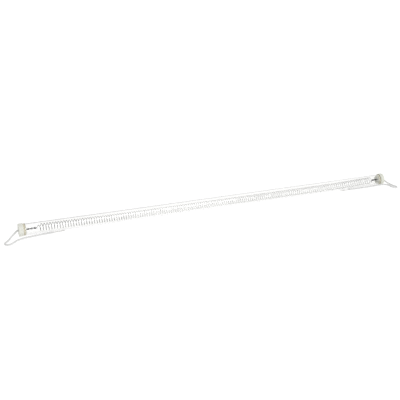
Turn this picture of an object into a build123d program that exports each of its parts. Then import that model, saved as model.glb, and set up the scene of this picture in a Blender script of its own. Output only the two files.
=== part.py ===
from build123d import *
import math
import os

# Quartz heating element: a clear tube with a resistance coil inside, a ceramic cap
# cemented into each end, and a sleeved lead wire out of each cap.
# Millimetres. X runs along the tube, -Y is the side the leads lie on, Z is up.
# The origin is under the middle of the tube, on the surface that the caps rest on.

# Quartz tube
TUBE_OD = 12.0
TUBE_WALL = 1.0
TUBE_LENGTH = 410.0
TUBE_EDGE_ROUND = 0.3

# Ceramic end caps: a flange outside the tube and a plug inside its bore
FLANGE_OVERHANG = 0.5
FLANGE_THICKNESS = 4.5
FLANGE_EDGE_ROUND = 0.5
FLANGE_INNER_BEVEL = 0.25
PLUG_LENGTH = 2.8
PLUG_EDGE_BEVEL = 0.3
LEAD_HOLE_CLEARANCE = 0.1
LEAD_HOLE_BEVEL = 0.4

# Cement that bonds each plug in the bore
CEMENT_WALL = 0.7
CEMENT_LENGTH = 2.4
CEMENT_SLOPE = 0.3

# Crimp barrels that join the coil's tails to the leads
CRIMP_OD = 3.0
CRIMP_LENGTH = 4.8
CRIMP_BORE_DEPTH = 3.2
CRIMP_BORE_CLEARANCE = 0.12
CRIMP_POCKET_CLEARANCE = 0.08
CRIMP_EDGE_BEVEL = 0.3

# Heating coil, one wire with doubled and twisted tails
COIL_OD = 7.5
COIL_WIRE = 0.55
COIL_TURNS = 152
LEFT_COIL_INSET = 16.0
RIGHT_COIL_INSET = 12.0
COIL_END_STRETCH = 0.06
COIL_RISE = 2.6
COIL_LIE_CLEARANCE = 0.2
LEFT_SAG_RUN = 90.0
RIGHT_SAG_RUN = 50.0
TAIL_TWIST_PITCH = 6.6
TAIL_GRIP = 2.4
STEPS_PER_TURN = 8

# Lead wires and their stripped ends
LEAD_OD = 1.8
LEAD_FOOT_CLEARANCE = 0.35
STRIPPED_OD = 0.9
STRIPPED_LENGTH = 11.0
BEND_SHARE = 0.45

# Heights and places that follow from the sizes above
FLANGE_OD = TUBE_OD + 2 * FLANGE_OVERHANG
AXIS_Z = FLANGE_OD / 2
BORE_OD = TUBE_OD - 2 * TUBE_WALL
PLUG_OD = BORE_OD - 2 * CEMENT_WALL
TUBE_END_X = TUBE_LENGTH / 2
FLANGE_FACE_X = TUBE_END_X + FLANGE_THICKNESS
PLUG_FACE_X = TUBE_END_X - PLUG_LENGTH
CRIMP_FACE_X = PLUG_FACE_X + CRIMP_LENGTH
COIL_LEFT_X = LEFT_COIL_INSET - TUBE_END_X
COIL_RIGHT_X = TUBE_END_X - RIGHT_COIL_INSET
COIL_RADIUS = (COIL_OD - COIL_WIRE) / 2
COIL_SAG = (BORE_OD - COIL_OD) / 2 - COIL_LIE_CLEARANCE
CRIMP_BORE = math.hypot(2 * COIL_WIRE, COIL_WIRE) + 2 * CRIMP_BORE_CLEARANCE
CRIMP_POCKET = CRIMP_OD + 2 * CRIMP_POCKET_CLEARANCE
LEAD_HOLE = LEAD_OD + 2 * LEAD_HOLE_CLEARANCE

# A lead that lies on the surface against the tube's foot
LEAD_Z = LEAD_OD / 2
FOOT_REACH = TUBE_OD / 2 + LEAD_OD / 2 + LEAD_FOOT_CLEARANCE
FOOT_Y = -math.sqrt(FOOT_REACH**2 - (AXIS_Z - LEAD_Z) ** 2)

# Routes of the leads. Each point is its distance out from the flange's outer face,
# its place across the tube and its height.
LEFT_ROUTE = [
    (1.4, 0.0, AXIS_Z),
    (3.9, -2.7, 4.9),
    (7.2, -6.3, 3.8),
    (11.2, -10.8, 1.7),
    (15.3, -14.2, LEAD_Z),
    (14.7, -18.7, LEAD_Z + 0.1),
    (10.6, -20.5, LEAD_Z + 0.7),
    (6.9, -17.9, LEAD_Z + 1.0),
    (3.6, -12.0, LEAD_Z + 0.3),
    (-3.9, -8.1, LEAD_Z + 0.1),
    (-13.6, FOOT_Y - 1.9, LEAD_Z),
    (-23.4, FOOT_Y - 0.5, LEAD_Z),
    (-33.1, FOOT_Y - 0.6, LEAD_Z + 0.4),
]
RIGHT_ROUTE = [
    (1.8, 0.0, AXIS_Z),
    (4.2, -0.9, 4.0),
    (5.9, -3.4, 2.4),
    (7.3, -7.2, 1.4),
    (8.9, -11.8, LEAD_Z),
    (10.4, -16.2, LEAD_Z),
    (8.6, -19.3, LEAD_Z),
    (5.0, -20.1, LEAD_Z + 0.6),
    (2.1, -18.0, LEAD_Z + 1.4),
    (1.7, -12.6, LEAD_Z + 1.9),
    (-1.5, -8.7, LEAD_Z + 1.8),
    (-6.2, -6.3, LEAD_Z + 1.1),
    (-13.1, FOOT_Y - 0.8, LEAD_Z + 0.4),
    (-22.5, FOOT_Y - 0.4, LEAD_Z),
    (-33.6, FOOT_Y - 0.3, LEAD_Z),
    (-47.0, FOOT_Y - 0.2, LEAD_Z + 0.1),
]

LEFT = -1
RIGHT = 1


def revolve_about_axis(profile):
    """Turn an (x, radius) outline about the tube's axis."""
    face = Plane.XZ * make_face(Polyline(*profile, close=True))
    return Pos(0, 0, AXIS_Z) * revolve(face, Axis.X)


def circles_at(solid, x, radius):
    """Return the round edges of a solid at one place along the axis."""
    edges = solid.edges().filter_by(GeomType.CIRCLE)
    near_x = edges.filter_by(lambda edge: abs(edge.arc_center.X - x) < 1e-4)
    return near_x.filter_by(lambda edge: abs(edge.radius - radius) < 1e-4)


def make_tube():
    """The quartz tube, with fire-polished outer edges."""
    outer = TUBE_OD / 2
    bore = BORE_OD / 2
    tube = revolve_about_axis([
        (-TUBE_END_X, bore),
        (TUBE_END_X, bore),
        (TUBE_END_X, outer),
        (-TUBE_END_X, outer),
    ])
    rims = circles_at(tube, -TUBE_END_X, outer) + circles_at(tube, TUBE_END_X, outer)
    return fillet(rims, TUBE_EDGE_ROUND)


def make_cap(side):
    """One ceramic cap: plug, flange, crimp pocket and lead hole."""
    flange = FLANGE_OD / 2
    plug = PLUG_OD / 2
    pocket = CRIMP_POCKET / 2
    hole = LEAD_HOLE / 2
    cap = revolve_about_axis([
        (side * PLUG_FACE_X, pocket),
        (side * CRIMP_FACE_X, pocket),
        (side * CRIMP_FACE_X, hole),
        (side * (FLANGE_FACE_X - LEAD_HOLE_BEVEL), hole),
        (side * FLANGE_FACE_X, hole + LEAD_HOLE_BEVEL),
        (side * FLANGE_FACE_X, flange),
        (side * (TUBE_END_X + FLANGE_INNER_BEVEL), flange),
        (side * TUBE_END_X, flange - FLANGE_INNER_BEVEL),
        (side * TUBE_END_X, plug),
        (side * (PLUG_FACE_X + PLUG_EDGE_BEVEL), plug),
        (side * PLUG_FACE_X, plug - PLUG_EDGE_BEVEL),
    ])
    return fillet(circles_at(cap, side * FLANGE_FACE_X, flange), FLANGE_EDGE_ROUND)


def make_cement(side):
    """The cement ring between a plug and the bore, with a sloped inner end."""
    plug = PLUG_OD / 2
    bore = BORE_OD / 2
    inner_x = TUBE_END_X - CEMENT_LENGTH
    return revolve_about_axis([
        (side * TUBE_END_X, plug),
        (side * (inner_x + CEMENT_SLOPE), plug),
        (side * inner_x, bore),
        (side * TUBE_END_X, bore),
    ])


def make_crimp(side):
    """A crimp barrel, bored from its inner end for the coil's tail."""
    outer = CRIMP_OD / 2
    bore = CRIMP_BORE / 2
    bore_end_x = PLUG_FACE_X + CRIMP_BORE_DEPTH
    return revolve_about_axis([
        (side * PLUG_FACE_X, bore),
        (side * bore_end_x, bore),
        (side * bore_end_x, 0),
        (side * CRIMP_FACE_X, 0),
        (side * CRIMP_FACE_X, outer - CRIMP_EDGE_BEVEL),
        (side * (CRIMP_FACE_X - CRIMP_EDGE_BEVEL), outer),
        (side * (PLUG_FACE_X + CRIMP_EDGE_BEVEL), outer),
        (side * PLUG_FACE_X, outer - CRIMP_EDGE_BEVEL),
    ])


def eased(share):
    """Go smoothly from 0 to 1 as a share does, and stay there."""
    share = min(1.0, max(0.0, share))
    return share * share * (3 - 2 * share)


def coil_sag(x):
    """How far the coil hangs below the tube's axis at a place along it."""
    return COIL_SAG * eased((x - COIL_LEFT_X) / LEFT_SAG_RUN) * eased((COIL_RIGHT_X - x) / RIGHT_SAG_RUN)


def tail_steps(length):
    """How many steps a tail of that length takes at the coil's steps per turn."""
    return math.ceil(length / TAIL_TWIST_PITCH * STEPS_PER_TURN)


def coil_stations():
    """Stations along the wire: place, radius, angle and how many wires wide it is."""
    step_angle = 2 * math.pi / STEPS_PER_TURN
    tail_end_x = PLUG_FACE_X + TAIL_GRIP
    left_tail_x = COIL_LEFT_X - COIL_RISE
    right_tail_x = COIL_RIGHT_X + COIL_RISE
    left_steps = tail_steps(left_tail_x + tail_end_x)
    right_steps = tail_steps(tail_end_x - right_tail_x)
    rise_steps = STEPS_PER_TURN // 2
    coil_steps = COIL_TURNS * STEPS_PER_TURN
    middle_x = (COIL_LEFT_X + COIL_RIGHT_X) / 2
    half_length = (COIL_RIGHT_X - COIL_LEFT_X) / 2
    stations = []
    for step in range(left_steps):
        x = -tail_end_x + (left_tail_x + tail_end_x) * step / left_steps
        stations.append((x, 0.0, 2))
    for step in range(rise_steps):
        share = step / rise_steps
        stations.append((left_tail_x + COIL_RISE * share, COIL_RADIUS * share, 2 - share))
    for step in range(coil_steps + 1):
        along = 2 * step / coil_steps - 1
        stretched = (1 - COIL_END_STRETCH) * along + COIL_END_STRETCH * along**3
        stations.append((middle_x + half_length * stretched, COIL_RADIUS, 1))
    for step in range(1, rise_steps + 1):
        share = 1 - step / rise_steps
        stations.append((right_tail_x - COIL_RISE * share, COIL_RADIUS * share, 2 - share))
    for step in range(1, right_steps + 1):
        x = right_tail_x + (tail_end_x - right_tail_x) * step / right_steps
        stations.append((x, 0.0, 2))
    return [(x, radius, index * step_angle, wires) for index, (x, radius, wires) in enumerate(stations)]


def make_coil():
    """The heating coil with its tails, as flat-sided wire lofted from station to station."""
    stations = coil_stations()
    centres = []
    for x, radius, angle, _ in stations:
        height = AXIS_Z - coil_sag(x) + radius * math.sin(angle)
        centres.append(Vector(x, radius * math.cos(angle), height))
    sections = []
    for index, (_, _, angle, wires) in enumerate(stations):
        before = centres[max(index - 1, 0)]
        after = centres[min(index + 1, len(centres) - 1)]
        along = (after - before).normalized()
        spoke = Vector(0, math.cos(angle), math.sin(angle))
        across = (spoke - along * spoke.dot(along)).normalized() * (wires * COIL_WIRE / 2)
        beside = along.cross(across).normalized() * (COIL_WIRE / 2)
        corners = [
            centres[index] + across + beside,
            centres[index] - across + beside,
            centres[index] - across - beside,
            centres[index] + across - beside,
        ]
        sections.append(Wire.make_polygon(corners, close=True))
    return Solid.make_loft(sections, ruled=True)


def lead_points(side, route):
    """A lead's route in the part's frame, from the crimp to the stripped end."""
    points = [Vector(side * CRIMP_FACE_X, 0, AXIS_Z)]
    for out, across, height in route:
        points.append(Vector(side * (FLANGE_FACE_X + out), across, height))
    return points


def bend_radii(points):
    """The largest radius that each corner's two runs leave room for."""
    radii = []
    for before, corner, after in zip(points, points[1:], points[2:]):
        run_in = corner - before
        run_out = after - corner
        half_turn = math.radians(run_in.get_angle(run_out)) / 2
        shorter = min(run_in.length, run_out.length)
        radii.append(BEND_SHARE * shorter / math.tan(half_turn))
    return radii


def make_lead(points):
    """A lead's sleeve, a round tube of straight runs and tangent arcs."""
    path = FilletPolyline(*points, radius=bend_radii(points))
    section = Plane(points[0], z_dir=points[1] - points[0]) * Circle(LEAD_OD / 2)
    return sweep(section, path=path), path.length


def make_stripped_end(points):
    """The bare conductor past the end of a lead's sleeve, in line with its last run."""
    last_run = Plane(points[-1], z_dir=points[-1] - points[-2])
    return extrude(last_run * Circle(STRIPPED_OD / 2), STRIPPED_LENGTH)


def make_parts():
    """Every piece by name."""
    parts = {"quartz_tube": make_tube(), "heating_coil": make_coil()}
    for name, side, route in (("left", LEFT, LEFT_ROUTE), ("right", RIGHT, RIGHT_ROUTE)):
        points = lead_points(side, route)
        lead, length = make_lead(points)
        parts["end_cap_" + name] = make_cap(side)
        parts["cement_ring_" + name] = make_cement(side)
        parts["crimp_" + name] = make_crimp(side)
        parts["lead_wire_" + name] = lead
        parts["stripped_end_" + name] = make_stripped_end(points)
        expected = math.pi / 4 * LEAD_OD**2 * length
        radii = ", ".join(f"{radius:.1f}" for radius in bend_radii(points))
        print(f"lead {name}: length {length:.1f}, volume {lead.volume:.2f} of {expected:.2f}, radii {radii}")
    return parts


os.makedirs("parts", exist_ok=True)
for node, shape in make_parts().items():
    export_step(shape, f"parts/{node}.step")
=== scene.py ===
"""Scene of a quartz heating element: a clear tube, its coil, ceramic caps and lead wires.

Metres. X runs along the tube, -Y is the side that the leads lie on, Z is up.
"""

import logging
import math
from dataclasses import dataclass
from enum import Enum

import bmesh
import bpy
from mathutils import Matrix, Vector


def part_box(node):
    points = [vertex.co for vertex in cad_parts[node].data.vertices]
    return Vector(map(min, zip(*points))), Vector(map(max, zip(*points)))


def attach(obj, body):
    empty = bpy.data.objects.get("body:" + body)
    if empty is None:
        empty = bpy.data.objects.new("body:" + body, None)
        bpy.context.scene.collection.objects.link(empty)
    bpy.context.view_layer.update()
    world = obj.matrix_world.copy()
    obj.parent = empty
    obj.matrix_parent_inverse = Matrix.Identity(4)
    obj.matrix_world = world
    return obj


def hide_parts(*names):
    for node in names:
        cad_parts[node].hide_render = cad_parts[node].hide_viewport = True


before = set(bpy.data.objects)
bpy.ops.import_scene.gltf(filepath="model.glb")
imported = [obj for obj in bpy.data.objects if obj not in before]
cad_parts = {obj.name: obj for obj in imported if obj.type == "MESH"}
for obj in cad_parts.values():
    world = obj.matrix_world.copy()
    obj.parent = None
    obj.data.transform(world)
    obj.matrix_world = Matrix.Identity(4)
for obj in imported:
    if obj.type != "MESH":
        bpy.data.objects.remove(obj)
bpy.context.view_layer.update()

LOG = logging.getLogger("quartz_element")
MM = 0.001
BODY = "root"
SHARP_ANGLE = math.radians(35.0)
MERGE_DISTANCE = 1e-7
NOISE_MEAN = 0.5
WHITE = (1.0, 1.0, 1.0, 1.0)

# A Mix node has sockets for each type of data. These are the share and the colours.
MIX_SHARE = 0
MIX_FIRST = 6
MIX_LAST = 7
MIX_RESULT = 2

Colour = tuple[float, float, float]
Triple = tuple[float, float, float]
Corner = tuple[float, float, float]
Span = tuple[float, float]
Outline = list[tuple[float, float]]
Socket = bpy.types.NodeSocket


class Side(Enum):
    """The two ends of the tube."""

    LEFT = -1
    RIGHT = 1

    @property
    def word(self) -> str:
        """The end's name as the pieces carry it."""
        return self.name.lower()


def rounded_outline(corners: list[Corner], steps: int = 6) -> Outline:
    """Round the corners of a closed outline.

    Args:
        corners: Each corner's place along the axis, its radius about the axis and its rounding.
        steps: Straight steps in each rounded corner.

    Returns:
        The outline's points, with an arc at each corner that has a rounding.
    """
    outline: Outline = []
    count = len(corners)
    for index, (x, radius, rounding) in enumerate(corners):
        corner = Vector((x, radius))
        if rounding <= 0.0:
            outline.append((x, radius))
            continue
        back = (Vector(corners[index - 1][:2]) - corner).normalized()
        ahead = (Vector(corners[(index + 1) % count][:2]) - corner).normalized()
        half = back.angle(ahead) / 2
        centre = corner + (back + ahead).normalized() * (rounding / math.sin(half))
        start = corner + back * (rounding / math.tan(half)) - centre
        end = corner + ahead * (rounding / math.tan(half)) - centre
        turn = math.atan2(start.x * end.y - start.y * end.x, start.dot(end))
        for step in range(steps + 1):
            spot = centre + Matrix.Rotation(turn * step / steps, 2) @ start
            outline.append((spot.x, spot.y))
    return outline


def turned_piece(name: str, outline: Outline, axis_height: float, segments: int) -> bpy.types.Object:
    """Turn a closed outline about the tube's axis.

    Args:
        name: The piece's name.
        outline: Points of the outline, as place along the axis and radius.
        axis_height: Height of the tube's axis.
        segments: Steps round the axis.

    Returns:
        The turned piece, with its faces outwards.
    """
    shape = bmesh.new()
    rings = []
    for step in range(segments):
        angle = 2 * math.pi * step / segments
        across = math.cos(angle)
        up = math.sin(angle)
        rings.append([shape.verts.new((x, r * across, axis_height + r * up)) for x, r in outline])
    for step, ring in enumerate(rings):
        following = rings[(step + 1) % segments]
        for index in range(len(outline)):
            after = (index + 1) % len(outline)
            shape.faces.new((ring[index], ring[after], following[after], following[index]))
    bmesh.ops.remove_doubles(shape, verts=shape.verts, dist=MERGE_DISTANCE)
    bmesh.ops.recalc_face_normals(shape, faces=shape.faces)
    mesh = bpy.data.meshes.new(name)
    shape.to_mesh(mesh)
    shape.free()
    return placed_piece(name, mesh)


def placed_piece(name: str, mesh: bpy.types.Mesh) -> bpy.types.Object:
    """Put a mesh in the scene as a smooth piece at the origin, with its sharp edges kept.

    Args:
        name: The piece's name.
        mesh: Its mesh, in place.

    Returns:
        The new object.
    """
    mesh.name = name
    mesh.shade_smooth()
    mesh.set_sharp_from_angle(angle=SHARP_ANGLE)
    piece = bpy.data.objects.new(name, mesh)
    bpy.context.scene.collection.objects.link(piece)
    return piece


def hand_over(piece: bpy.types.Object, slot: str, *nodes: str) -> None:
    """Tie a finished piece to the part: its body and the nodes it stands for."""
    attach(piece, BODY)
    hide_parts(*nodes)
    LOG.info("%s stands for %s, %d faces", piece.name, ", ".join(nodes), len(piece.data.polygons))


class NodeDesk:
    """Adds and links the nodes of one tree."""

    def __init__(self, tree: bpy.types.NodeTree) -> None:
        """Work on that tree."""
        self.tree = tree

    def feed(self, socket: Socket, value: object) -> None:
        """Link a socket, or set its value."""
        if isinstance(value, Socket):
            self.tree.links.new(value, socket)
        else:
            socket.default_value = value

    def node(self, kind: str, settings: dict | None = None, **inputs: object) -> bpy.types.Node:
        """Add a node.

        Args:
            kind: The node's type name.
            settings: Its own properties by name.
            **inputs: Its sockets by name, underscores for spaces, as values or sockets to link.

        Returns:
            The new node.
        """
        node = self.tree.nodes.new(kind)
        for key, value in (settings or {}).items():
            setattr(node, key, value)
        for key, value in inputs.items():
            self.feed(node.inputs[key.replace("_", " ")], value)
        return node

    def math(self, operation: str, first: object, second: object = 0.0) -> Socket:
        """Add one sum and return its result."""
        node = self.node("ShaderNodeMath", {"operation": operation})
        self.feed(node.inputs[0], first)
        self.feed(node.inputs[1], second)
        return node.outputs[0]

    def ease(self, value: object, low: object, high: object, start: object, end: object) -> Socket:
        """Go smoothly from start to end as a value goes from low to high."""
        node = self.node(
            "ShaderNodeMapRange",
            {"interpolation_type": "SMOOTHSTEP"},
            Value=value,
            From_Min=low,
            From_Max=high,
            To_Min=start,
            To_Max=end,
        )
        return node.outputs["Result"]


class ShaderDesk(NodeDesk):
    """Adds and links the nodes of one material."""

    def __init__(self, name: str) -> None:
        """Start a material with a plain Principled surface."""
        self.material = bpy.data.materials.new(name)
        self.material.use_nodes = True
        super().__init__(self.material.node_tree)
        self.surface = self.tree.nodes["Principled BSDF"]
        self.output = self.tree.nodes["Material Output"]

    def set(self, **inputs: object) -> None:
        """Set or link sockets of the surface shader by name."""
        for key, value in inputs.items():
            self.feed(self.surface.inputs[key.replace("_", " ")], value)

    def place(self) -> Socket:
        """The spot on the piece, in the frame that all pieces share."""
        return self.node("ShaderNodeTexCoord").outputs["Object"]

    def along(self) -> Socket:
        """The spot's place along the tube."""
        return self.node("ShaderNodeSeparateXYZ", Vector=self.place()).outputs["X"]

    def object_noise(self, scale: float, detail: float, stretch: Triple = (1.0, 1.0, 1.0)) -> Socket:
        """A noise on the piece's own coordinates.

        Args:
            scale: Features to the metre.
            detail: Finer layers added to it.
            stretch: Scale along each axis.

        Returns:
            The noise's value, about 0.5 on average.
        """
        spread = self.node("ShaderNodeMapping", Vector=self.place(), Scale=stretch).outputs["Vector"]
        noise = self.node("ShaderNodeTexNoise", Vector=spread, Scale=scale, Detail=detail)
        return noise.outputs["Fac"]

    def scaled(self, value: Socket, factor: float, offset: float) -> Socket:
        """A value times a factor, plus an offset."""
        return self.math("ADD", self.math("MULTIPLY", value, factor), offset)

    def ramp(self, value: Socket, span: Span, first: Colour, last: Colour) -> Socket:
        """Blend between two colours as a value goes through a span."""
        node = self.node("ShaderNodeValToRGB", Fac=value)
        for element, position, colour in zip(node.color_ramp.elements, span, (first, last)):
            element.position = position
            element.color = (*colour, 1.0)
        return node.outputs["Color"]

    def fade(self, value: Socket, start: float, end: float) -> Socket:
        """Go from 0 to 1 as a value goes from start to end, and stay there."""
        return self.node("ShaderNodeMapRange", Value=value, From_Min=start, From_Max=end).outputs["Result"]

    def between(self, value: Socket, first: Span, last: Span) -> Socket:
        """1 between two spans and 0 outside them. Each span is given from its 0 to its 1."""
        return self.math("MULTIPLY", self.fade(value, *first), self.fade(value, *last))

    def blend(self, share: Socket, first: Socket, last: Colour) -> Socket:
        """Blend a colour into a plain one by a share from 0 to 1."""
        node = self.node("ShaderNodeMix", {"data_type": "RGBA"})
        self.feed(node.inputs[MIX_SHARE], share)
        self.feed(node.inputs[MIX_FIRST], first)
        self.feed(node.inputs[MIX_LAST], (*last, 1.0))
        return node.outputs[MIX_RESULT]

    def bump(self, height: Socket, depth: float) -> None:
        """Raise the surface by a height map of that depth in metres."""
        node = self.node("ShaderNodeBump", Height=height, Distance=depth, Strength=1.0)
        self.set(Normal=node.outputs["Normal"])


@dataclass(frozen=True)
class QuartzFinish:
    """Clear fused quartz, a little grey through the length of its walls."""

    tint: Colour = (0.99, 0.99, 0.985)
    ior: float = 1.458
    absorbed: Colour = (0.45, 0.445, 0.43)
    density: float = 60.0

    def material(self) -> bpy.types.Material:
        """The glass as a material."""
        desk = ShaderDesk("clear_quartz")
        desk.set(Base_Color=(*self.tint, 1.0), Roughness=0.0, IOR=self.ior, Transmission_Weight=1.0)
        grey = desk.node("ShaderNodeVolumeAbsorption", Color=(*self.absorbed, 1.0), Density=self.density)
        desk.feed(desk.output.inputs["Volume"], grey.outputs["Volume"])
        return desk.material


@dataclass(frozen=True)
class CeramicFinish:
    """Unglazed pressed ceramic, cream with a fine grain. The two caps differ a little in tone."""

    name: str
    pale: Colour
    shaded: Colour
    cloud_scale: float = 260.0
    cloud_detail: float = 4.0
    grain_scale: float = 2600.0
    grain_detail: float = 2.0
    grain_share: float = 0.3
    grain_depth: float = 0.015 * MM
    tone_span: Span = (0.35, 0.65)
    smoothest: float = 0.42
    rougher: float = 0.2

    def material(self) -> bpy.types.Material:
        """The ceramic as a material."""
        desk = ShaderDesk(self.name)
        clouds = desk.object_noise(self.cloud_scale, self.cloud_detail)
        grain = desk.object_noise(self.grain_scale, self.grain_detail)
        cloudy = desk.math("MULTIPLY", clouds, 1.0 - self.grain_share)
        mixed = desk.math("ADD", cloudy, desk.math("MULTIPLY", grain, self.grain_share))
        desk.set(Base_Color=desk.ramp(mixed, self.tone_span, self.shaded, self.pale))
        desk.set(Roughness=desk.scaled(grain, self.rougher, self.smoothest))
        desk.bump(grain, self.grain_depth)
        return desk.material


@dataclass(frozen=True)
class CementFinish:
    """Dried cement, gritty, beige next to the flange and greyer where it meets the plug's face."""

    pale: Colour = (0.80, 0.755, 0.60)
    dark: Colour = (0.70, 0.645, 0.48)
    face: Colour = (0.68, 0.68, 0.60)
    face_span: Span = (203.6 * MM, 202.8 * MM)
    grit_scale: float = 1500.0
    grit_detail: float = 5.0
    grit_depth: float = 0.05 * MM
    tone_span: Span = (0.32, 0.66)
    roughness: float = 0.85

    def material(self) -> bpy.types.Material:
        """The cement as a material."""
        desk = ShaderDesk("beige_cement")
        grit = desk.object_noise(self.grit_scale, self.grit_detail)
        near_face = desk.fade(desk.math("ABSOLUTE", desk.along()), *self.face_span)
        beige = desk.ramp(grit, self.tone_span, self.dark, self.pale)
        desk.set(Base_Color=desk.blend(near_face, beige, self.face), Roughness=self.roughness)
        desk.bump(grit, self.grit_depth)
        return desk.material


@dataclass(frozen=True)
class WireFinish:
    """Resistance wire with painted shade that darkens it towards the coil's ends, random duller patches, and
    a dark oxide skin on its tails.
    """

    bright: Colour = (0.66, 0.66, 0.655)
    # The darker metal, for the random dull patches and for the painted shade at the coil's ends.
    dull: Colour = (0.22, 0.22, 0.218)
    oxide: Colour = (0.015, 0.015, 0.014)
    patch_scale: float = 900.0
    patch_detail: float = 3.0
    patch_spread: float = 0.5
    # Painted shade: the spans over which the wire darkens towards each end of the coil.
    left_dull: Span = (-185.0 * MM, -90.0 * MM)
    right_dull: Span = (300.0 * MM, 110.0 * MM)
    left_tail: Span = (-190.6 * MM, -191.8 * MM)
    right_tail: Span = (194.4 * MM, 195.6 * MM)
    specular: float = 0.15
    smoothest: float = 0.25
    rougher: float = 0.15

    def material(self) -> bpy.types.Material:
        """The wire as a material."""
        desk = ShaderDesk("resistance_wire")
        patches = desk.object_noise(self.patch_scale, self.patch_detail)
        along = desk.along()
        tails = desk.math("ADD", desk.fade(along, *self.left_tail), desk.fade(along, *self.right_tail))
        spread = desk.math("MULTIPLY", desk.math("SUBTRACT", patches, NOISE_MEAN), self.patch_spread)
        # Painted shade: the metal goes from bright to dark towards both ends of the coil, and the random
        # patches spread it.
        shine_with_painted_shade = desk.math("ADD", desk.between(along, self.left_dull, self.right_dull), spread)
        metal = desk.ramp(shine_with_painted_shade, (0.0, 1.0), self.dull, self.bright)
        desk.set(Base_Color=desk.blend(tails, metal, self.oxide))
        desk.set(Metallic=desk.math("SUBTRACT", 1.0, tails), Specular_IOR_Level=self.specular)
        desk.set(Roughness=desk.scaled(patches, self.rougher, self.smoothest))
        return desk.material


@dataclass(frozen=True)
class PlatedFinish:
    """Plated metal with fine marks along it."""

    name: str
    bright: Colour
    worn: Colour
    mark_scale: float = 2200.0
    mark_detail: float = 3.0
    mark_stretch: Triple = (0.15, 1.0, 1.0)
    tone_span: Span = (0.35, 0.65)
    smoothest: float = 0.25
    rougher: float = 0.25

    def material(self) -> bpy.types.Material:
        """The metal as a material."""
        desk = ShaderDesk(self.name)
        marks = desk.object_noise(self.mark_scale, self.mark_detail, self.mark_stretch)
        desk.set(Base_Color=desk.ramp(marks, self.tone_span, self.worn, self.bright), Metallic=1.0)
        desk.set(Roughness=desk.scaled(marks, self.rougher, self.smoothest))
        return desk.material


@dataclass(frozen=True)
class SleeveFinish:
    """White braided glass-fibre sleeve. The braid follows the lead's own length and turn."""

    thread: Colour = (0.69, 0.69, 0.685)
    gap: Colour = (0.53, 0.53, 0.52)
    threads_round: float = 8.0
    braid_pitch: float = 2.6 * MM
    braid_depth: float = 0.06 * MM
    tone_span: Span = (0.3, 0.9)
    roughness: float = 0.75
    sheen: float = 0.2

    def material(self) -> bpy.types.Material:
        """The sleeve as a material."""
        desk = ShaderDesk("braided_sleeve")
        along = desk.node("ShaderNodeAttribute", {"attribute_name": "along"}).outputs["Fac"]
        spoke = desk.node("ShaderNodeAttribute", {"attribute_name": "spoke"}).outputs["Vector"]
        parts = desk.node("ShaderNodeSeparateXYZ", Vector=spoke)
        angle = desk.math("ARCTAN2", parts.outputs["Y"], parts.outputs["X"])
        wound = desk.math("MULTIPLY", angle, self.threads_round)
        run = desk.math("MULTIPLY", along, 2 * math.pi * self.threads_round / self.braid_pitch)
        one_way = desk.math("SINE", desk.math("ADD", wound, run))
        other_way = desk.math("SINE", desk.math("SUBTRACT", wound, run))
        braid = desk.math("MAXIMUM", one_way, other_way)
        # The sines run from -1 to 1, and the lift from 0 to 1.
        lift = desk.scaled(braid, 0.5, 0.5)
        desk.set(Base_Color=desk.ramp(lift, self.tone_span, self.gap, self.thread))
        desk.set(Roughness=self.roughness, Sheen_Weight=self.sheen)
        desk.bump(lift, self.braid_depth)
        return desk.material


@dataclass(frozen=True)
class FloorFinish:
    """A plain sweep with a glow of its own, so that it burns out to white. It glows most in front."""

    paper: Colour = (0.2, 0.2, 0.2)
    roughness: float = 0.9
    specular: float = 0.1
    glow_middle: float = 0.94
    glow: float = 0.92
    middle_reach: float = 0.06
    pool_reach: float = 0.24
    pool_shape: Triple = (0.8, 1.0, 1.0)
    front_glow: float = 0.6
    front_start: Span = (-2.0 * MM, -8.0 * MM)
    front_end: Span = (-0.12, -0.06)
    front_left: Span = (-0.12, -0.06)
    front_right: Span = (0.07, 0.0)

    def material(self) -> bpy.types.Material:
        """The floor as a material."""
        desk = ShaderDesk("white_sweep")
        desk.set(Base_Color=(*self.paper, 1.0), Roughness=self.roughness, Specular_IOR_Level=self.specular)
        place = desk.place()
        spread = desk.node("ShaderNodeMapping", Vector=place, Scale=self.pool_shape).outputs["Vector"]
        away = desk.node("ShaderNodeVectorMath", {"operation": "LENGTH"}, Vector=spread).outputs["Value"]
        pool = desk.ease(away, self.middle_reach, self.pool_reach, self.glow_middle, self.glow)
        parts = desk.node("ShaderNodeSeparateXYZ", Vector=place)
        across = desk.between(parts.outputs["Y"], self.front_start, self.front_end)
        along = desk.between(parts.outputs["X"], self.front_left, self.front_right)
        front = desk.math("MULTIPLY", desk.math("MULTIPLY", across, along), self.front_glow)
        desk.set(Emission_Color=WHITE, Emission_Strength=desk.math("ADD", pool, front))
        return desk.material


CAP_FINISHES = {
    Side.LEFT: CeramicFinish("cream_ceramic", (0.68, 0.685, 0.63), (0.645, 0.65, 0.59)),
    Side.RIGHT: CeramicFinish("grey_cream_ceramic", (0.63, 0.64, 0.575), (0.595, 0.605, 0.535)),
}
CRIMP_FINISH = PlatedFinish("plated_crimp", (0.62, 0.61, 0.59), (0.42, 0.41, 0.39))
STRAND_FINISH = PlatedFinish("tinned_strands", (0.66, 0.655, 0.635), (0.50, 0.49, 0.47))


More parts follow.
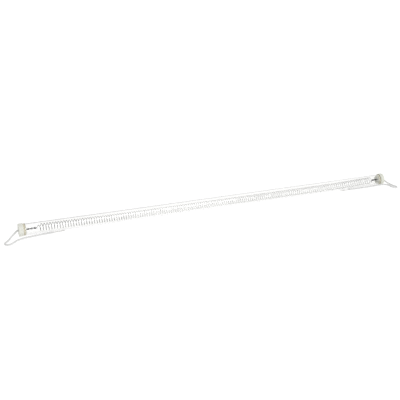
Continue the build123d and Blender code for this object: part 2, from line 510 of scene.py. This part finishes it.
class TreeDesk(NodeDesk):
    """Adds and links the nodes of one geometry tree, and bakes it."""

    def __init__(self, name: str, source: bool = False) -> None:
        """Start a tree. One with a source takes the geometry of the object it is put on."""
        super().__init__(bpy.data.node_groups.new(name, "GeometryNodeTree"))
        self.inputs = self.tree.nodes.new("NodeGroupInput")
        if source:
            self.tree.interface.new_socket("Source", in_out="INPUT", socket_type="NodeSocketGeometry")
        self.tree.interface.new_socket("Piece", in_out="OUTPUT", socket_type="NodeSocketGeometry")

    def size(self, name: str, kind: str = "Float") -> Socket:
        """Add a named input and return its socket inside the tree."""
        self.tree.interface.new_socket(name, in_out="INPUT", socket_type="NodeSocket" + kind)
        return self.inputs.outputs[name]

    def sizes(self, *names: str) -> list[Socket]:
        """Add several named inputs and return their sockets inside the tree."""
        return [self.size(name) for name in names]

    def swept(self, route: Socket, profile: Socket) -> Socket:
        """The closed mesh that a profile leaves along a route."""
        tube = self.node("GeometryNodeCurveToMesh", Curve=route, Profile_Curve=profile, Fill_Caps=True)
        return tube.outputs["Mesh"]

    def close(self, geometry: Socket, material: Socket) -> None:
        """End the tree: plain geometry with its material."""
        smooth = self.node("GeometryNodeSetShadeSmooth", Geometry=geometry)
        plain = self.node("GeometryNodeRealizeInstances", Geometry=smooth.outputs["Geometry"])
        dressed = self.node("GeometryNodeSetMaterial", Geometry=plain.outputs["Geometry"], Material=material)
        output = self.tree.nodes.new("NodeGroupOutput")
        self.tree.links.new(dressed.outputs["Geometry"], output.inputs["Piece"])

    def bake(self, sizes: dict[str, object], source: bpy.types.Object | None = None) -> bpy.types.Mesh:
        """Run the tree with these sizes.

        Args:
            sizes: Each named input's value.
            source: The object it works on, or none for a tree that makes its own geometry.

        Returns:
            The result as a plain mesh.
        """
        carrier = source or bpy.data.objects.new("carrier", bpy.data.meshes.new("carrier"))
        if source is None:
            bpy.context.scene.collection.objects.link(carrier)
        modifier = carrier.modifiers.new(self.tree.name, "NODES")
        modifier.node_group = self.tree
        for item in self.tree.interface.items_tree:
            if item.in_out == "INPUT" and item.name in sizes:
                modifier[item.identifier] = sizes[item.name]
        carrier.update_tag()
        graph = bpy.context.evaluated_depsgraph_get()
        mesh = bpy.data.meshes.new_from_object(carrier.evaluated_get(graph))
        carrier.modifiers.remove(modifier)
        if source is None:
            bpy.data.objects.remove(carrier)
        return mesh


@dataclass(frozen=True)
class WireRun:
    """One wound stretch of wire, from one place along the axis to another."""

    wire: float
    start: float
    end: float
    start_radius: float
    end_radius: float
    start_turn: float
    turns: float
    stretch: float = 0.0
    sag: float = 0.0
    left_sag_run: float = 1.0
    right_sag_run: float = 1.0
    steps_per_turn: int = 32
    fewest_steps: int = 8

    @property
    def points(self) -> int:
        """Points along the wire, enough for its turns."""
        return max(self.fewest_steps, round(abs(self.turns) * self.steps_per_turn)) + 1


class WireWinder:
    """Winds round wire about the X axis with a geometry tree."""

    SIDES = 8

    def __init__(self) -> None:
        """Build the tree."""
        desk = TreeDesk("wound_wire")
        start, end, start_radius, end_radius = desk.sizes("Start", "End", "Start Radius", "End Radius")
        start_turn, turns, stretch = desk.sizes("Start Turn", "Turns", "Stretch")
        axis, sag, left_run, right_run = desk.sizes("Axis Height", "Sag", "Left Sag Run", "Right Sag Run")
        wire_radius = desk.size("Wire Radius")
        steps = desk.size("Steps", "Int")
        sides = desk.size("Sides", "Int")
        material = desk.size("Material", "Material")

        line = desk.node("GeometryNodeCurvePrimitiveLine")
        path = desk.node("GeometryNodeResampleCurve", Curve=line.outputs["Curve"], Count=steps)
        share = desk.node("GeometryNodeSplineParameter").outputs["Factor"]
        # From -1 to 1 along the run. Its cube, added in part, opens the turns towards both ends.
        along = desk.math("SUBTRACT", desk.math("MULTIPLY", share, 2.0), 1.0)
        cubed = desk.math("MULTIPLY", desk.math("POWER", along, 3.0), stretch)
        even = desk.math("MULTIPLY", along, desk.math("SUBTRACT", 1.0, stretch))
        eased = desk.math("ADD", even, cubed)
        middle = desk.math("MULTIPLY", desk.math("ADD", start, end), 0.5)
        half = desk.math("MULTIPLY", desk.math("SUBTRACT", end, start), 0.5)
        place = desk.math("ADD", middle, desk.math("MULTIPLY", half, eased))

        turn = desk.math("ADD", start_turn, desk.math("MULTIPLY", turns, share))
        angle = desk.math("MULTIPLY", turn, 2 * math.pi)
        radius = desk.ease(share, 0.0, 1.0, start_radius, end_radius)
        from_left = desk.ease(desk.math("SUBTRACT", place, start), 0.0, left_run, 0.0, sag)
        from_right = desk.ease(desk.math("SUBTRACT", end, place), 0.0, right_run, 0.0, 1.0)
        drop = desk.math("MULTIPLY", from_left, from_right)
        across = desk.math("MULTIPLY", radius, desk.math("COSINE", angle))
        up = desk.math("MULTIPLY", radius, desk.math("SINE", angle))
        height = desk.math("SUBTRACT", desk.math("ADD", axis, up), drop)
        spot = desk.node("ShaderNodeCombineXYZ", X=place, Y=across, Z=height).outputs["Vector"]
        wound = desk.node("GeometryNodeSetPosition", Geometry=path.outputs["Curve"], Position=spot)
        ring = desk.node("GeometryNodeCurvePrimitiveCircle", Resolution=sides, Radius=wire_radius)
        desk.close(desk.swept(wound.outputs["Geometry"], ring.outputs["Curve"]), material)
        self.desk = desk

    def wind(self, run: WireRun, material: bpy.types.Material, axis: float = 0.0) -> bpy.types.Mesh:
        """Wind one run.

        Args:
            run: Where it goes.
            material: Its finish.
            axis: Height of the axis.

        Returns:
            The run as a mesh.
        """
        return self.desk.bake({
            "Start": run.start,
            "End": run.end,
            "Start Radius": run.start_radius,
            "End Radius": run.end_radius,
            "Start Turn": run.start_turn,
            "Turns": run.turns,
            "Stretch": run.stretch,
            "Axis Height": axis,
            "Sag": run.sag,
            "Left Sag Run": run.left_sag_run,
            "Right Sag Run": run.right_sag_run,
            "Wire Radius": run.wire / 2,
            "Steps": run.points,
            "Sides": self.SIDES,
            "Material": material,
        })


def joined_mesh(meshes: list[bpy.types.Mesh], material: bpy.types.Material) -> bpy.types.Mesh:
    """Join meshes that share one material."""
    shape = bmesh.new()
    for mesh in meshes:
        shape.from_mesh(mesh)
        bpy.data.meshes.remove(mesh)
    for face in shape.faces:
        face.material_index = 0
    joined = bpy.data.meshes.new("joined")
    shape.to_mesh(joined)
    shape.free()
    joined.materials.clear()
    joined.materials.append(material)
    return joined


@dataclass
class QuartzTube:
    """The clear tube. Its length and outer radius come from its box in model.glb."""

    wall: float = 1.0 * MM
    rim_round: float = 0.3 * MM
    inner_round: float = 0.12 * MM
    rim_support: float = 0.4 * MM
    spans: int = 40
    segments: int = 160

    def __post_init__(self) -> None:
        """Read the tube's box."""
        low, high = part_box("quartz_tube")
        self.end_x = high[0]
        self.radius = (high[2] - low[2]) / 2
        self.axis_z = (high[2] + low[2]) / 2
        self.bore = self.radius - self.wall

    def build(self) -> None:
        """Turn the tube and dress it. Rings along it keep the rims' shading off its long walls."""
        inside = self.end_x - self.rim_support
        stations = [inside * (2 * step / self.spans - 1) for step in range(self.spans + 1)]
        corners = [
            (-self.end_x, self.radius, self.rim_round),
            (-self.end_x, self.bore, self.inner_round),
            *((x, self.bore, 0.0) for x in stations),
            (self.end_x, self.bore, self.inner_round),
            (self.end_x, self.radius, self.rim_round),
            *((x, self.radius, 0.0) for x in reversed(stations)),
        ]
        outline = rounded_outline(corners)
        piece = turned_piece("tube_of_clear_quartz", outline, self.axis_z, self.segments)
        piece.data.materials.append(QuartzFinish().material())
        # Light goes through the clear wall, so the tube casts no shadow.
        piece.visible_shadow = False
        hand_over(piece, "quartz", "quartz_tube")


@dataclass
class HeatingCoil:
    """The resistance wire: a sagging coil with a doubled, twisted tail at each end."""

    tube: QuartzTube
    winder: WireWinder
    outside: float = 7.5 * MM
    wire: float = 0.55 * MM
    turns: int = 152
    left_inset: float = 16.0 * MM
    right_inset: float = 12.0 * MM
    end_stretch: float = 0.06
    rise: float = 2.6 * MM
    lie_clearance: float = 0.2 * MM
    left_sag_run: float = 90.0 * MM
    right_sag_run: float = 50.0 * MM
    tail_pitch: float = 6.6 * MM
    tail_wire: float = 0.95 * MM
    grip_wire: float = 0.74 * MM
    grip_gap: float = 0.2 * MM
    tail_spread: float = 0.5
    first_turn: float = 0.0
    left_rise_turns: float = 0.5
    right_rise_turns: float = 0.4

    def strand(self, wire: float, start: float, end: float, first_turn: float) -> WireRun:
        """One strand of a tail, twisted at the tails' pitch. It is thinner inside the crimp."""
        radius = wire * self.tail_spread
        return WireRun(wire, start, end, radius, radius, first_turn, (end - start) / self.tail_pitch)

    def runs(self) -> list[WireRun]:
        """The wire's stretches: its coil, the rise at each end of it, and the tails' two strands."""
        low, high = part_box("heating_coil")
        left = self.left_inset - self.tube.end_x
        right = self.tube.end_x - self.right_inset
        left_tail = left - self.rise
        right_tail = right + self.rise
        radius = (self.outside - self.wire) / 2
        tail_radius = self.tail_wire * self.tail_spread
        sag = self.tube.bore - self.outside / 2 - self.lie_clearance
        left_turns = (left_tail - low[0]) / self.tail_pitch
        left_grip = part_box("crimp_left")[1][0] + self.grip_gap
        right_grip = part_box("crimp_right")[0][0] - self.grip_gap
        rise_turn = self.first_turn + left_turns
        coil_turn = rise_turn + self.left_rise_turns
        fall_turn = coil_turn + self.turns
        last_turn = fall_turn + self.right_rise_turns
        sags = (sag, self.left_sag_run, self.right_sag_run)
        runs = [
            WireRun(self.wire, left_tail, left, tail_radius, radius, rise_turn, self.left_rise_turns),
            WireRun(self.wire, left, right, radius, radius, coil_turn, self.turns, self.end_stretch, *sags),
            WireRun(self.wire, right, right_tail, radius, tail_radius, fall_turn, self.right_rise_turns),
        ]
        # The two strands of a tail lie half a turn apart.
        for half in (0.0, 0.5):
            first = self.first_turn + half
            last = last_turn + half
            left_lay = first + (left_grip - low[0]) / self.tail_pitch
            right_lay = last + (right_grip - right_tail) / self.tail_pitch
            runs += [
                self.strand(self.grip_wire, low[0], left_grip, first),
                self.strand(self.tail_wire, left_grip, left_tail, left_lay),
                self.strand(self.tail_wire, right_tail, right_grip, last),
                self.strand(self.grip_wire, right_grip, high[0], right_lay),
            ]
        return runs

    def build(self) -> None:
        """Wind the wire and dress it."""
        material = WireFinish().material()
        meshes = [self.winder.wind(run, material, self.tube.axis_z) for run in self.runs()]
        piece = placed_piece("coil_of_resistance_wire", joined_mesh(meshes, material))
        hand_over(piece, "resistance_wire", "heating_coil")


@dataclass
class EndCap:
    """One ceramic cap, with the cement that holds its plug and the crimp inside it."""

    tube: QuartzTube
    side: Side
    flange_round: float = 0.5 * MM
    inner_bevel: float = 0.25 * MM
    inner_round: float = 0.08 * MM
    cement_wall: float = 0.7 * MM
    cement_slope: float = 0.3 * MM
    cement_round: float = 0.1 * MM
    plug_bevel: float = 0.3 * MM
    plug_round: float = 0.1 * MM
    hole_radius: float = 1.0 * MM
    hole_bevel: float = 0.4 * MM
    hole_round: float = 0.1 * MM
    pocket_clearance: float = 0.08 * MM
    crimp_bore: float = 0.735 * MM
    crimp_bore_depth: float = 3.2 * MM
    crimp_bevel: float = 0.3 * MM
    crimp_round: float = 0.05 * MM
    parting_place: float = 2.0 * MM
    parting_width: float = 0.3 * MM
    parting_depth: float = 0.1 * MM
    parting_round: float = 0.05 * MM
    cement_bond: float = 0.01 * MM
    cap_segments: int = 128
    cement_segments: int = 96
    crimp_segments: int = 48

    def __post_init__(self) -> None:
        """Read the boxes of the cap's pieces, as distances from the middle of the tube."""
        self.face_x, self.plug_x, self.flange = self.reach("end_cap")
        _, self.cement_x, _ = self.reach("cement_ring")
        self.crimp_face_x, self.crimp_x, self.crimp = self.reach("crimp")
        self.plug = self.tube.bore - self.cement_wall

    def reach(self, kind: str) -> Triple:
        """A piece's far and near place from the middle of the tube, and its radius."""
        low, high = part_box(f"{kind}_{self.side.word}")
        far = max(abs(low[0]), abs(high[0]))
        near = min(abs(low[0]), abs(high[0]))
        return far, near, (high[2] - low[2]) / 2

    def turned(self, name: str, corners: list[Corner], segments: int) -> bpy.types.Object:
        """Turn an outline that is given for the right end, on this cap's side."""
        mirrored = [(self.side.value * x, radius, rounding) for x, radius, rounding in corners]
        outline = rounded_outline(mirrored)
        return turned_piece(f"{name}_{self.side.word}", outline, self.tube.axis_z, segments)

    def build_ceramic(self, material: bpy.types.Material) -> None:
        """The cap itself, with the fine parting line of its mould round the flange."""
        pocket = self.crimp + self.pocket_clearance
        end_x = self.tube.end_x
        line_x = end_x + self.parting_place
        half_line = self.parting_width / 2
        piece = self.turned("ceramic_cap", [
            (self.plug_x, pocket, 0.0),
            (self.crimp_face_x, pocket, 0.0),
            (self.crimp_face_x, self.hole_radius, 0.0),
            (self.face_x - self.hole_bevel, self.hole_radius, 0.0),
            (self.face_x, self.hole_radius + self.hole_bevel, self.hole_round),
            (self.face_x, self.flange, self.flange_round),
            (line_x + half_line, self.flange, self.parting_round),
            (line_x, self.flange - self.parting_depth, 0.0),
            (line_x - half_line, self.flange, self.parting_round),
            (end_x + self.inner_bevel, self.flange, self.inner_round),
            (end_x, self.flange - self.inner_bevel, self.inner_round),
            (end_x, self.plug, 0.0),
            (self.plug_x + self.plug_bevel, self.plug, self.plug_round),
            (self.plug_x, self.plug - self.plug_bevel, self.plug_round),
        ], self.cap_segments)
        piece.data.materials.append(material)
        hand_over(piece, "ceramic", f"end_cap_{self.side.word}")

    def build_cement(self, material: bpy.types.Material) -> None:
        """The cement ring in the bore."""
        bore = self.tube.bore + self.cement_bond
        piece = self.turned("cement_bond", [
            (self.tube.end_x, self.plug, 0.0),
            (self.cement_x + self.cement_slope, self.plug, 0.0),
            (self.cement_x, bore, self.cement_round),
            (self.tube.end_x, bore, 0.0),
        ], self.cement_segments)
        piece.data.materials.append(material)
        hand_over(piece, "cement", f"cement_ring_{self.side.word}")

    def build_crimp(self, material: bpy.types.Material) -> None:
        """The crimp barrel in the cap's pocket."""
        bore_end = self.crimp_x + self.crimp_bore_depth
        piece = self.turned("crimp_barrel", [
            (self.crimp_x, self.crimp_bore, 0.0),
            (bore_end, self.crimp_bore, 0.0),
            (bore_end, 0.0, 0.0),
            (self.crimp_face_x, 0.0, 0.0),
            (self.crimp_face_x, self.crimp - self.crimp_bevel, self.crimp_round),
            (self.crimp_face_x - self.crimp_bevel, self.crimp, self.crimp_round),
            (self.crimp_x + self.crimp_bevel, self.crimp, self.crimp_round),
            (self.crimp_x, self.crimp - self.crimp_bevel, self.crimp_round),
        ], self.crimp_segments)
        piece.data.materials.append(material)
        hand_over(piece, "crimp_metal", f"crimp_{self.side.word}")


class SleeveSweeper:
    """Sweeps a lead's sleeve along its route with a geometry tree, and keeps its braid's coordinates."""

    RINGS_PER_WIDTH = 4
    SIDES = 24

    def __init__(self) -> None:
        """Build the tree."""
        desk = TreeDesk("swept_sleeve", source=True)
        radius, spacing = desk.sizes("Sleeve Radius", "Ring Spacing")
        sides = desk.size("Sides", "Int")
        material = desk.size("Material", "Material")
        route = desk.inputs.outputs["Source"]
        path = desk.node("GeometryNodeResampleCurve", {"mode": "LENGTH"}, Curve=route, Length=spacing)
        length = desk.node("GeometryNodeSplineParameter").outputs["Length"]
        marked = desk.node(
            "GeometryNodeStoreNamedAttribute",
            Geometry=path.outputs["Curve"],
            Name="along",
            Value=length,
        )
        ring = desk.node("GeometryNodeCurvePrimitiveCircle", Resolution=sides, Radius=radius)
        around = desk.node(
            "GeometryNodeStoreNamedAttribute",
            {"data_type": "FLOAT_VECTOR"},
            Geometry=ring.outputs["Curve"],
            Name="spoke",
            Value=desk.node("GeometryNodeInputPosition").outputs["Position"],
        )
        desk.close(desk.swept(marked.outputs["Geometry"], around.outputs["Geometry"]), material)
        self.desk = desk

    def sweep(self, route: bpy.types.Object, width: float, material: bpy.types.Material) -> bpy.types.Mesh:
        """Sweep a round sleeve of that width along a route.

        Args:
            route: The route as a curve.
            width: The sleeve's diameter.
            material: Its finish.

        Returns:
            The sleeve as a mesh, closed at both ends.
        """
        return self.desk.bake({
            "Sleeve Radius": width / 2,
            "Ring Spacing": width / self.RINGS_PER_WIDTH,
            "Sides": self.SIDES,
            "Material": material,
        }, route)


@dataclass
class LeadWire:
    """One sleeved lead and its stripped end."""

    tube: QuartzTube
    cap: EndCap
    sweeper: SleeveSweeper
    winder: WireWinder
    diameter: float = 1.8 * MM
    foot_clearance: float = 0.35 * MM
    stripped_length: float = 11.0 * MM
    strand: float = 0.3 * MM
    strand_lay: float = 9.0 * MM
    outer_strands: int = 6
    route_steps: int = 16
    route_order: int = 3

    def route(self) -> list[Vector]:
        """Lay the lead out: from its crimp through the cap, down to the floor and back to the tube.

        Each point is in millimetres: how far out past the cap's face, its Y and its Z. A lead that
        rests on the floor is at the height rest, and one that lies along the tube there has the Y foot.

        Returns:
            The route's points, from the crimp to the end of the sleeve.
        """
        radius = self.diameter / 2
        reach = self.tube.radius + radius + self.foot_clearance
        foot = -math.sqrt(reach**2 - (self.tube.axis_z - radius) ** 2) / MM
        rest = radius / MM
        axis = self.tube.axis_z / MM
        if self.cap.side is Side.LEFT:
            points = [
                (1.4, 0.0, axis),
                (3.9, -2.7, 4.9),
                (7.2, -6.3, 3.8),
                (11.2, -10.8, 1.7),
                (15.3, -14.2, rest),
                (14.7, -18.7, rest + 0.1),
                (10.6, -20.5, rest + 0.7),
                (6.9, -17.9, rest + 1.0),
                (3.6, -12.0, rest + 0.3),
                (-3.9, -8.1, rest + 0.1),
                (-13.6, foot - 1.9, rest),
                (-23.4, foot - 0.5, rest),
                (-33.1, foot - 0.6, rest + 0.4),
            ]
        else:
            points = [
                (1.8, 0.0, axis),
                (4.2, -0.9, 4.0),
                (5.9, -3.4, 2.4),
                (7.3, -7.2, 1.4),
                (8.9, -11.8, rest),
                (10.4, -16.2, rest),
                (8.6, -19.3, rest),
                (5.0, -20.1, rest + 0.6),
                (2.1, -18.0, rest + 1.4),
                (1.7, -12.6, rest + 1.9),
                (-1.5, -8.7, rest + 1.8),
                (-6.2, -6.3, rest + 1.1),
                (-13.1, foot - 0.8, rest + 0.4),
                (-22.5, foot - 0.4, rest),
                (-33.6, foot - 0.3, rest),
                (-47.0, foot - 0.2, rest + 0.1),
            ]
        sign = self.cap.side.value
        face = self.cap.face_x
        start = Vector((sign * self.cap.crimp_face_x, 0.0, self.tube.axis_z))
        return [start] + [Vector((sign * (face + out * MM), y * MM, z * MM)) for out, y, z in points]

    def route_curve(self, points: list[Vector]) -> bpy.types.Object:
        """The route as one smooth open spline."""
        data = bpy.data.curves.new("lead_route", "CURVE")
        data.dimensions = "3D"
        data.resolution_u = self.route_steps
        spline = data.splines.new("NURBS")
        spline.points.add(len(points) - 1)
        for spot, point in zip(spline.points, points):
            spot.co = (*point, 1.0)
        spline.order_u = self.route_order
        spline.use_endpoint_u = True
        curve = bpy.data.objects.new("lead_route", data)
        bpy.context.scene.collection.objects.link(curve)
        return curve

    def build(self, sleeve_material: bpy.types.Material, strand_material: bpy.types.Material) -> None:
        """Args:
            sleeve_material: The sleeve's finish.
            strand_material: The bare strands' finish.
        """
        word = self.cap.side.word
        points = self.route()
        curve = self.route_curve(points)
        graph = bpy.context.evaluated_depsgraph_get()
        line = bpy.data.meshes.new_from_object(curve.evaluated_get(graph))
        bpy.data.meshes.remove(line)
        mesh = self.sweeper.sweep(curve, self.diameter, sleeve_material)
        sleeve = placed_piece(f"lead_sleeve_{word}", mesh)
        bpy.data.objects.remove(curve)
        hand_over(sleeve, "lead_sleeve", f"lead_wire_{word}")
        strands = self.stripped_end(points, strand_material)

    def stripped_end(self, points: list[Vector], material: bpy.types.Material) -> bpy.types.Object:
        """The bare strands past the sleeve, laid round a middle one.

        Args:
            points: The route's points, whose last run the strands go on from.
            material: Their finish.

        Returns:
            The bundle of strands.
        """
        ends = (0.0, self.stripped_length)
        turns = self.stripped_length / self.strand_lay
        runs = [WireRun(self.strand, *ends, 0.0, 0.0, 0.0, turns)]
        for index in range(self.outer_strands):
            start_turn = index / self.outer_strands
            runs.append(WireRun(self.strand, *ends, self.strand, self.strand, start_turn, turns))
        mesh = joined_mesh([self.winder.wind(run, material) for run in runs], material)
        heading = (points[-1] - points[-2]).normalized()
        turned = heading.to_track_quat("X", "Z").to_matrix().to_4x4()
        mesh.transform(Matrix.Translation(points[-1]) @ turned)
        piece = placed_piece(f"bare_strands_{self.cap.side.word}", mesh)
        hand_over(piece, "bare_strands", f"stripped_end_{self.cap.side.word}")
        return piece


@dataclass
class Studio:
    """The white sweep, the soft light and the camera."""

    yaw: float = 21.465
    pitch: float = 20.752
    distance: float = 0.74318
    target: Triple = (-0.0198, 0.0, 0.01168)
    lens: float = 63.0
    sensor: float = 36.0
    nearest: float = 0.01
    floor_size: float = 12.0
    side_heading: Triple = (1.0, 0.0, 0.0)
    side_span: Span = (-0.1, 0.5)
    side_sky: Span = (0.70, 0.93)
    key_heading: Triple = (0.0, -0.6, 0.8)
    key_span: Span = (0.2, 1.0)
    key_sky: Span = (0.98, 1.35)
    box_place: Triple = (0.27, -1.2, 0.69)
    box_aim: Triple = (0.0, 0.0, 0.0)
    box_size: float = 0.7
    box_power: float = 4.5

    def build_floor(self) -> None:
        """The floor that the part lies on."""
        half = self.floor_size / 2
        mesh = bpy.data.meshes.new("sweep")
        corners = [(-half, -half, 0.0), (half, -half, 0.0), (half, half, 0.0), (-half, half, 0.0)]
        mesh.from_pydata(corners, [], [(0, 1, 2, 3)])
        mesh.materials.append(FloorFinish().material())
        floor = bpy.data.objects.new("sweep", mesh)
        bpy.context.scene.collection.objects.link(floor)

    def build_dome(self) -> None:
        """A white dome, brightest in front and above and dimmest towards -X."""
        world = bpy.data.worlds.new("white_dome")
        world.use_nodes = True
        desk = NodeDesk(world.node_tree)
        heading = desk.node("ShaderNodeTexCoord").outputs["Generated"]
        side = (self.side_heading, self.side_span, self.side_sky)
        key = (self.key_heading, self.key_span, self.key_sky)
        levels = []
        for towards, span, sky in (side, key):
            lean = desk.node("ShaderNodeVectorMath", {"operation": "DOT_PRODUCT"}, Vector=heading)
            lean.inputs[1].default_value = towards
            levels.append(desk.ease(lean.outputs["Value"], *span, *sky))
        dome = desk.tree.nodes["Background"]
        dome.inputs["Color"].default_value = WHITE
        desk.feed(dome.inputs["Strength"], desk.math("MULTIPLY", *levels))
        bpy.context.scene.world = world

    def build_soft_box(self) -> None:
        """A square soft box in front of the part."""
        data = bpy.data.lights.new("front_box", "AREA")
        data.size = self.box_size
        data.energy = self.box_power
        light = bpy.data.objects.new("front_box", data)
        light.location = self.box_place
        facing = Vector(self.box_aim) - Vector(self.box_place)
        light.rotation_euler = facing.to_track_quat("-Z", "Y").to_euler()
        bpy.context.scene.collection.objects.link(light)

    def build_camera(self) -> None:
        """The camera, at the photograph's angle."""
        yaw = math.radians(self.yaw)
        pitch = math.radians(self.pitch)
        level = math.cos(pitch)
        forward = Vector((math.sin(yaw) * level, math.cos(yaw) * level, -math.sin(pitch)))
        data = bpy.data.cameras.new("photo_camera")
        data.sensor_width = self.sensor
        data.lens = self.lens
        data.clip_start = self.nearest
        camera = bpy.data.objects.new("photo_camera", data)
        camera.location = Vector(self.target) - forward * self.distance
        camera.rotation_euler = forward.to_track_quat("-Z", "Y").to_euler()
        bpy.context.scene.collection.objects.link(camera)
        bpy.context.scene.camera = camera
        bpy.context.scene.view_settings.view_transform = "Standard"


def main() -> None:
    """Build the part's pieces in order, then the studio round them."""
    logging.basicConfig(level=logging.INFO)
    tube = QuartzTube()
    winder = WireWinder()
    sweeper = SleeveSweeper()
    cement = CementFinish().material()
    crimp_metal = CRIMP_FINISH.material()
    tinned = STRAND_FINISH.material()
    sleeve = SleeveFinish().material()
    tube.build()
    HeatingCoil(tube, winder).build()
    for side in Side:
        cap = EndCap(tube, side)
        cap.build_ceramic(CAP_FINISHES[side].material())
        cap.build_cement(cement)
        cap.build_crimp(crimp_metal)
        LeadWire(tube, cap, sweeper, winder).build(sleeve, tinned)
    studio = Studio()
    studio.build_floor()
    studio.build_dome()
    studio.build_soft_box()
    studio.build_camera()


if __name__ == "__main__":
    main()
